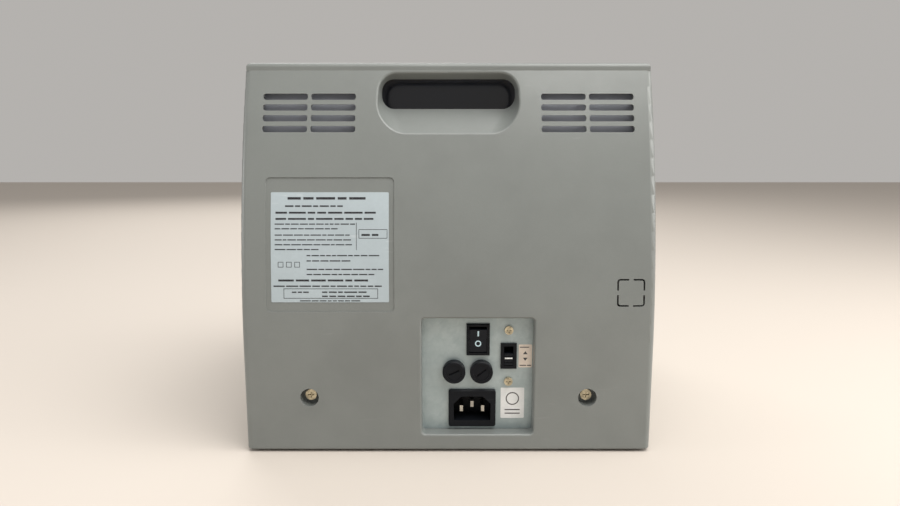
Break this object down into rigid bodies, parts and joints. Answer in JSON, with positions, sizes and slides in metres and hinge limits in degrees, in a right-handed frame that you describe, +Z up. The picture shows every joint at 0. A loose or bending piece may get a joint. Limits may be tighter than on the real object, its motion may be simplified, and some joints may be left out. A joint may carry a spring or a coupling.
{
  "type": "banknote counter",
  "caption": "Desktop banknote counter with hopper, friction feed, stacker pocket, lift-up lid and a rear connector panel with mains inlet.",
  "frame": {"origin": "middle of the footprint, on the surface under the feet", "axes": "+Z up; -Y faces the operator, with the stacker pocket; +Y is the connector side"},
  "size_m": [0.262, 0.24, 0.2495],
  "materials": {
    "housing": "satin moulded plastic with a fine spark texture",
    "liner": "glossy blue-black moulded plastic",
    "label": "pale metallised paper",
    "blue_steel": "dull blue-grey",
    "zinc_steel": "mottled zinc plate",
    "black_plastic": "satin black",
    "rocker_plastic": "gloss black",
    "slider_plastic": "satin black",
    "contact_metal": "bright nickel plate",
    "fuse_glass": "clear",
    "zinc_screw": "yellow zinc plate",
    "window": "dark red tinted",
    "key_plastic": "light grey satin",
    "knob_plastic": "dark satin",
    "circuit_board": "solder mask",
    "hopper_steel": "dark satin paint",
    "guide_plastic": "dark satin",
    "nylon": "natural nylon",
    "shaft_steel": "ground",
    "brass_bush": "sintered bronze",
    "roller_rubber": "red-brown rubber",
    "retard_rubber": "grey urethane",
    "pinch_plastic": "white acetal",
    "finger_rubber": "black urethane",
    "tray_plastic": "dark satin",
    "motor_paint": "black enamel",
    "belt_rubber": "black",
    "transformer_varnish": "varnished iron",
    "foot_rubber": "black"
  },
  "bodies": {
    "chassis": {"base_plate": "zinc_steel", "feet": "foot_rubber", "rear_cover": "housing", "front_cover": "housing", "top_cover": "housing", "handle_pocket": "liner", "rating_label": "label", "vent_baffle": "blue_steel", "inlet_panel": "zinc_steel", "inlet_body": "black_plastic", "inlet_pins": "contact_metal", "switch_body": "black_plastic", "fuse_holders": "black_plastic", "selector_body": "black_plastic", "panel_screws": "zinc_screw", "cover_screws": "zinc_screw", "display_window": "window", "control_board": "circuit_board", "hopper_plate": "hopper_steel", "side_plates": "zinc_steel", "tie_rods": "shaft_steel", "bearings": "brass_bush", "note_guide": "hopper_steel", "stacker_tray": "tray_plastic", "drive_motor": "motor_paint", "drive_belts": "belt_rubber", "transformer": "transformer_varnish"},
    "power_rocker": {"power_rocker": "rocker_plastic"},
    "voltage_slider": {"voltage_slider": "slider_plastic"},
    "fuse_left": {"fuse_left": "fuse_glass"},
    "fuse_cap_left": {"fuse_cap_left": "black_plastic"},
    "fuse_right": {"fuse_right": "fuse_glass"},
    "fuse_cap_right": {"fuse_cap_right": "black_plastic"},
    "access_lid": {"access_lid": "housing"},
    "gap_knob": {"gap_knob": "knob_plastic"},
    "retard_unit": {"retard_bracket": "zinc_steel", "retard_rollers": "retard_rubber"},
    "guide_left": {"hopper_guide_left": "guide_plastic"},
    "guide_right": {"hopper_guide_right": "guide_plastic"},
    "guide_pinion": {"guide_pinion": "nylon"},
    "pickup_rollers": {"pickup_shaft": "shaft_steel", "pickup_rollers": "roller_rubber", "pickup_pulley": "nylon"},
    "feed_rollers": {"feed_shaft": "shaft_steel", "feed_rollers": "roller_rubber", "feed_pulley": "nylon", "feed_gear": "nylon"},
    "transport_rollers": {"transport_shaft": "shaft_steel", "transport_rollers": "roller_rubber", "transport_gear": "nylon", "transport_pulley": "nylon"},
    "pinch_rollers": {"pinch_rollers": "pinch_plastic"},
    "stacker_wheels": {"stacker_shaft": "shaft_steel", "stacker_wheels": "finger_rubber", "stacker_pulley": "nylon"},
    "motor_rotor": {"motor_pulley": "shaft_steel"},
    "key_start": {"key_start": "key_plastic"},
    "key_clear": {"key_clear": "key_plastic"},
    "key_batch": {"key_batch": "key_plastic"},
    "key_mode": {"key_mode": "key_plastic"}
  },
  "joints": [
    {"name": "power_rocker_tip", "type": "hinge", "parent": "chassis", "child": "power_rocker", "pos_m": [-0.0192, 0.109, 0.073], "axis": [1, 0, 0], "range_deg": [0, 18]},
    {"name": "voltage_slide", "type": "slide", "parent": "chassis", "child": "voltage_slider", "axis": [0, 0, 1], "range_m": [0, 0.0045]},
    {"name": "fuse_left_pull", "type": "slide", "parent": "chassis", "child": "fuse_left", "axis": [0, 1, 0], "range_m": [0, 0.03]},
    {"name": "fuse_cap_left_turn", "type": "hinge", "parent": "fuse_left", "child": "fuse_cap_left", "pos_m": [-0.0036, 0.113, 0.0519], "axis": [0, 1, 0], "range_deg": [0, 60]},
    {"name": "fuse_right_pull", "type": "slide", "parent": "chassis", "child": "fuse_right", "axis": [0, 1, 0], "range_m": [0, 0.03]},
    {"name": "fuse_cap_right_turn", "type": "hinge", "parent": "fuse_right", "child": "fuse_cap_right", "pos_m": [-0.0214, 0.113, 0.0519], "axis": [0, 1, 0], "range_deg": [0, 60]},
    {"name": "access_lid_hinge", "type": "hinge", "parent": "chassis", "child": "access_lid", "pos_m": [0, 0.0685, 0.247], "axis": [-1, 0, 0], "range_deg": [0, 80]},
    {"name": "gap_knob_turn", "type": "hinge", "parent": "chassis", "child": "gap_knob", "pos_m": [0.113, 0.058, 0.248], "axis": [0, 0, 1], "range_deg": [0, 270]},
    {"name": "retard_gap_swing", "type": "hinge", "parent": "chassis", "child": "retard_unit", "pos_m": [0, 0.0656, 0.19592], "axis": [-1, 0, 0], "range_deg": [0, 3]},
    {"name": "guide_left_slide", "type": "slide", "parent": "chassis", "child": "guide_left", "axis": [-1, 0, 0], "range_m": [0, 0.028]},
    {"name": "guide_right_slide", "type": "slide", "parent": "chassis", "child": "guide_right", "axis": [1, 0, 0], "range_m": [0, 0.028]},
    {"name": "guide_pinion_turn", "type": "hinge", "parent": "chassis", "child": "guide_pinion", "pos_m": [0, -0.03018, 0.19476], "axis": [0, -0.3746, -0.9272], "range_deg": [0, 201]},
    {"name": "pickup_spin", "type": "hinge", "parent": "chassis", "child": "pickup_rollers", "pos_m": [0, -0.00427, 0.17081], "axis": [1, 0, 0], "continuous": true},
    {"name": "feed_spin", "type": "hinge", "parent": "chassis", "child": "feed_rollers", "pos_m": [0, 0.0276, 0.15092], "axis": [1, 0, 0], "continuous": true},
    {"name": "transport_spin", "type": "hinge", "parent": "chassis", "child": "transport_rollers", "pos_m": [0, -0.0009, 0.11872], "axis": [1, 0, 0], "continuous": true},
    {"name": "pinch_spin", "type": "hinge", "parent": "chassis", "child": "pinch_rollers", "pos_m": [0, -0.0009, 0.13912], "axis": [1, 0, 0], "continuous": true},
    {"name": "stacker_spin", "type": "hinge", "parent": "chassis", "child": "stacker_wheels", "pos_m": [0, -0.036, 0.096], "axis": [1, 0, 0], "continuous": true},
    {"name": "motor_spin", "type": "hinge", "parent": "chassis", "child": "motor_rotor", "pos_m": [0.08, -0.008, 0.046], "axis": [1, 0, 0], "continuous": true},
    {"name": "key_start_press", "type": "slide", "parent": "chassis", "child": "key_start", "axis": [0, 0.8742, -0.4856], "range_m": [0, 0.0012], "stiffness_N_per_m": 300, "springref_m": -0.0005},
    {"name": "key_clear_press", "type": "slide", "parent": "chassis", "child": "key_clear", "axis": [0, 0.8742, -0.4856], "range_m": [0, 0.0012], "stiffness_N_per_m": 300, "springref_m": -0.0005},
    {"name": "key_batch_press", "type": "slide", "parent": "chassis", "child": "key_batch", "axis": [0, 0.8742, -0.4856], "range_m": [0, 0.0012], "stiffness_N_per_m": 300, "springref_m": -0.0005},
    {"name": "key_mode_press", "type": "slide", "parent": "chassis", "child": "key_mode", "axis": [0, 0.8742, -0.4856], "range_m": [0, 0.0012], "stiffness_N_per_m": 300, "springref_m": -0.0005}
  ],
  "couplings": [
    {"joint": "guide_right_slide", "follows": "guide_left_slide", "ratio": 1},
    {"joint": "guide_pinion_turn", "follows": "guide_left_slide", "rad_per_m": 125},
    {"joint": "retard_gap_swing", "follows": "gap_knob_turn", "ratio": 0.011111},
    {"joint": "pickup_spin", "follows": "feed_spin", "ratio": 1},
    {"joint": "transport_spin", "follows": "feed_spin", "ratio": -1.2632},
    {"joint": "pinch_spin", "follows": "feed_spin", "ratio": 1.8947},
    {"joint": "motor_spin", "follows": "feed_spin", "ratio": -1.9649},
    {"joint": "stacker_spin", "follows": "feed_spin", "ratio": -0.88421}
  ]
}
